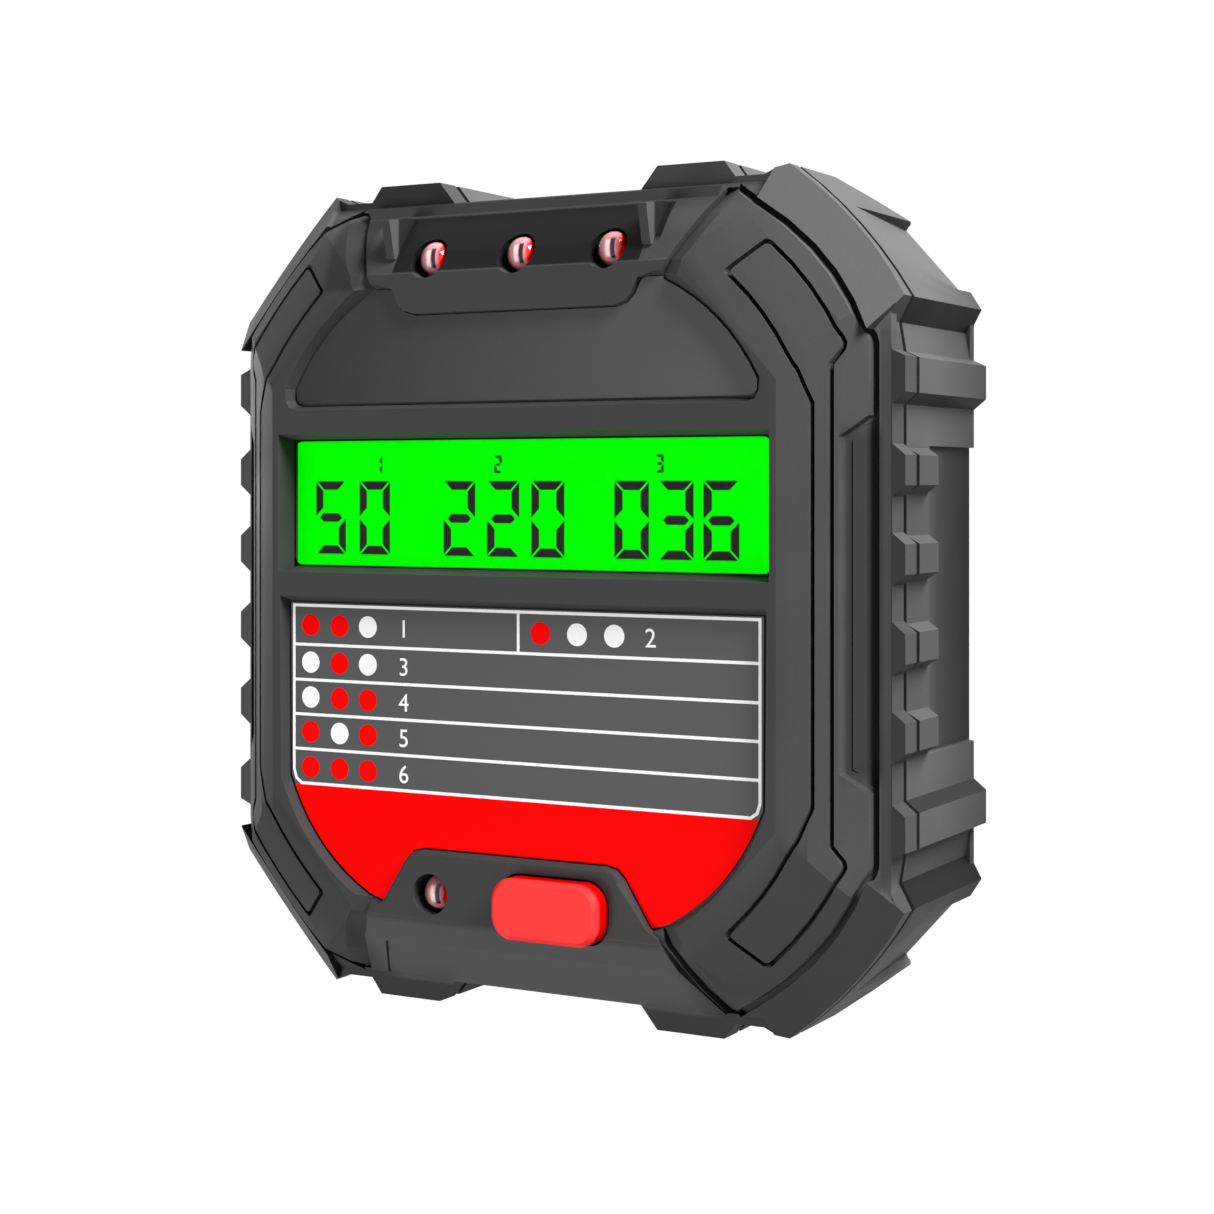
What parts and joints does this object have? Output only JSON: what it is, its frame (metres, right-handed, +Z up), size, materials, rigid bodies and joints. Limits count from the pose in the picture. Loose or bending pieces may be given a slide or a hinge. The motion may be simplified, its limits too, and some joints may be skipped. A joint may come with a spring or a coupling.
{
  "type": "outlet tester plug",
  "caption": "Plug-in outlet tester: octagonal ribbed case with a backlit display, state lamps, printed table and push button, and a round earthed plug behind.",
  "frame": {"origin": "centre of the plug's end face, midway between the two pins", "axes": "+Y along the pins into the outlet, so the face looks along -Y; +Z up; +X to the right seen from the front"},
  "size_m": [0.0656, 0.0646, 0.072],
  "materials": {
    "case_plastic": "moulded, finely textured",
    "upper_label": "printed film",
    "lower_label": "printed film, grey table above a red field",
    "clear": "clear, polished",
    "display": "backlit green",
    "white_plastic": "moulded",
    "strip_rubber": "matte",
    "lens": "clear tinted lens",
    "tinned": "tinned",
    "black_plastic": "moulded",
    "red_plastic": "satin",
    "brass": "bare",
    "board": "solder mask",
    "yellow_plastic": "box film capacitor",
    "dark_sleeve": "shrunk sleeve",
    "ceramic": "cement coat",
    "fuse_brown": "moulded",
    "plug_plastic": "moulded",
    "nickel": "nickel plated brass",
    "screw_steel": "zinc plated",
    "wire_brown": "insulation",
    "wire_blue": "insulation",
    "wire_green": "insulation"
  },
  "bodies": {
    "case": {"front_case": "case_plastic", "rear_case": "case_plastic", "upper_label": "upper_label", "lower_label": "lower_label", "lcd_window": "clear", "lcd_glass": "display", "lcd_frame": "white_plastic", "light_guide": "white_plastic", "backlight_leds": "white_plastic", "zebra_strip": "strip_rubber", "left_led": "lens", "middle_led": "lens", "right_led": "lens", "trip_led": "lens", "led_leads": "tinned", "led_spacers": "black_plastic", "switch_body": "black_plastic", "switch_cover": "tinned", "switch_dome": "brass", "circuit_board": "board", "controller_chip": "black_plastic", "supply_capacitor": "yellow_plastic", "smoothing_capacitor": "dark_sleeve", "test_resistor": "ceramic", "rectifier": "black_plastic", "test_triac": "black_plastic", "fuse": "fuse_brown", "plug_insert": "plug_plastic", "line_pin": "nickel", "neutral_pin": "nickel", "earth_strap": "nickel", "earth_socket": "brass", "pin_retainer": "plug_plastic", "retainer_screws": "screw_steel", "line_wire": "wire_brown", "neutral_wire": "wire_blue", "earth_wire": "wire_green", "board_screws": "screw_steel", "case_screws": "screw_steel"},
    "button": {"test_button": "red_plastic"},
    "plunger": {"switch_plunger": "white_plastic"}
  },
  "joints": [
    {"name": "button_press", "type": "slide", "parent": "case", "child": "button", "axis": [0, 1, 0], "range_m": [0, 0.0005], "stiffness_N_per_m": 2000},
    {"name": "plunger_press", "type": "slide", "parent": "case", "child": "plunger", "axis": [0, 1, 0], "range_m": [0, 0.0005], "deforming": ["switch_dome"]}
  ],
  "couplings": [
    {"joint": "plunger_press", "follows": "button_press", "ratio": 1}
  ]
}
